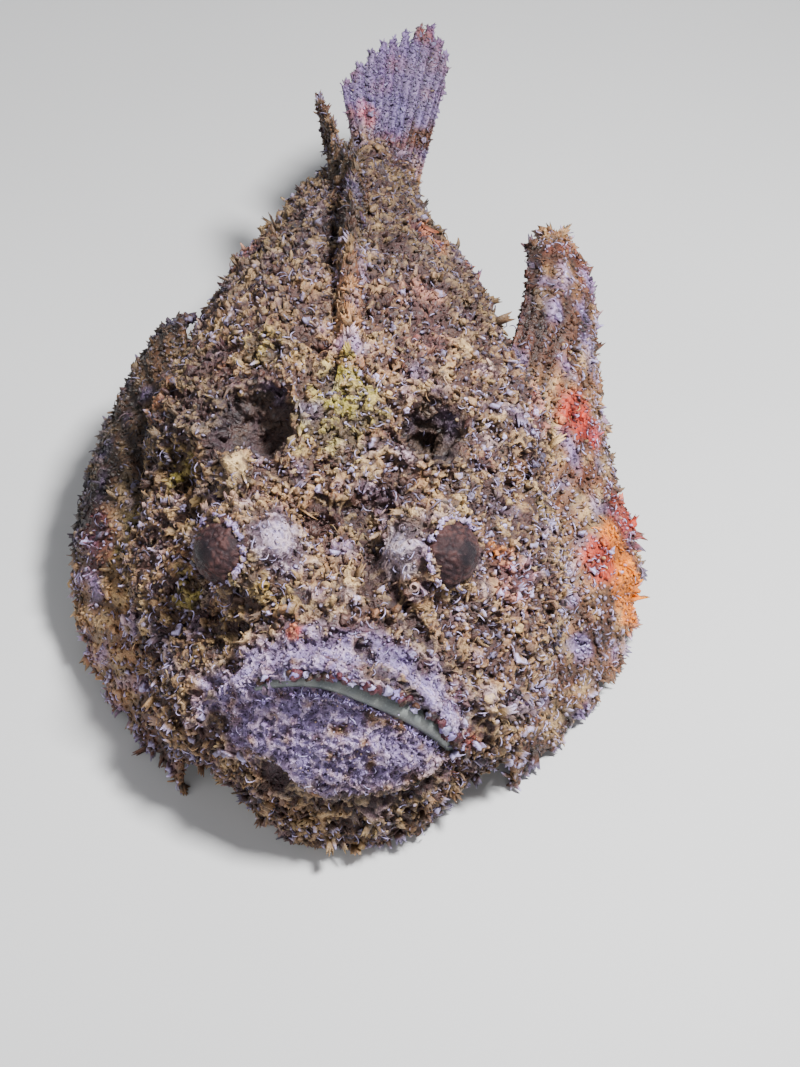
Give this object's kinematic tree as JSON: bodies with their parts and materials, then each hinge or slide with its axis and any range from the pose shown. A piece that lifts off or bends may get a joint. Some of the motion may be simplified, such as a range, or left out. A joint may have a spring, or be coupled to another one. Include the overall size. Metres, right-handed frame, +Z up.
{
  "type": "reef stonefish model",
  "caption": "Life-size still model of a reef stonefish at rest on its belly, tail bent to its left, with warty skin and spread pectoral fins.",
  "frame": {"origin": "on the floor, under the middle of the whole fish", "axes": "+Z up, the fish faces -Y, its left side is at +X"},
  "size_m": [0.1988, 0.3564, 0.1207],
  "materials": {
    "skin": "matt, warty, mottled brown, cream and lilac",
    "fin": "matt, ribbed, with pale and orange blotches",
    "eye": "glossy, dark brown"
  },
  "bodies": {
    "root": {"head": "skin", "lower_jaw": "skin", "torso": "skin", "tail_stem": "skin", "eye_left": "eye", "eye_right": "eye", "pectoral_fin_left": "fin", "pectoral_fin_right": "fin", "pelvic_fin_left": "fin", "pelvic_fin_right": "fin", "dorsal_fin_spiny": "fin", "dorsal_fin_soft": "fin", "anal_fin": "fin", "caudal_fin": "fin"}
  },
  "joints": []
}
